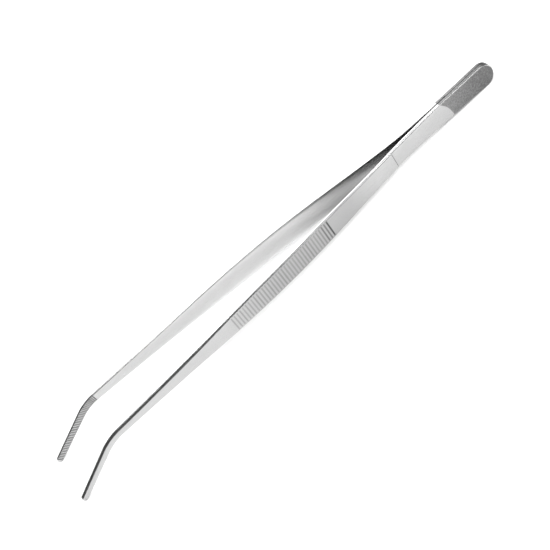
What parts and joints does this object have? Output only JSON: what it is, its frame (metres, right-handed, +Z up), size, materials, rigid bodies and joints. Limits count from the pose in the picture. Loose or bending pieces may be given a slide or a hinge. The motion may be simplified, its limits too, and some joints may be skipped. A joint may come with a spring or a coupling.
{
  "type": "aquascaping tweezers",
  "caption": "Long spring-steel tweezers with a welded round head, cross-ridged finger grips and tips bent down in the plane of the strips, open at rest.",
  "frame": {"origin": "bottom centre of the bounding box, on the surface that the open tweezers lie on", "axes": "+X along the length towards the welded head, +Y towards the right arm, +Z up; the strips stand upright on their edges and the tips bend down"},
  "size_m": [0.2998, 0.0356, 0.0191],
  "materials": {
    "ground_head_steel": "stainless steel, ground and bead-blasted at the head, satin beside it",
    "satin_steel": "stainless spring steel, satin polished, with edges polished brighter",
    "weld_metal": "fused steel, as welded, not seen from outside"
  },
  "bodies": {
    "head": {"left_heel": "ground_head_steel", "right_heel": "ground_head_steel", "weld_nugget_1": "weld_metal", "weld_nugget_2": "weld_metal", "weld_nugget_3": "weld_metal"},
    "left_arm": {"left_blade": "satin_steel"},
    "right_arm": {"right_blade": "satin_steel"}
  },
  "joints": [
    {"name": "left_arm_flex", "type": "hinge", "parent": "head", "child": "left_arm", "pos_m": [0.08016, -0.00296, 0.00908], "axis": [-0.0394, 0, -0.9992], "range_deg": [0, 3.9], "stiffness_Nm_per_rad": 14},
    {"name": "right_arm_flex", "type": "hinge", "parent": "head", "child": "right_arm", "pos_m": [0.08016, 0.00296, 0.00908], "axis": [0.0394, 0, 0.9992], "range_deg": [0, 3.9], "stiffness_Nm_per_rad": 14}
  ]
}
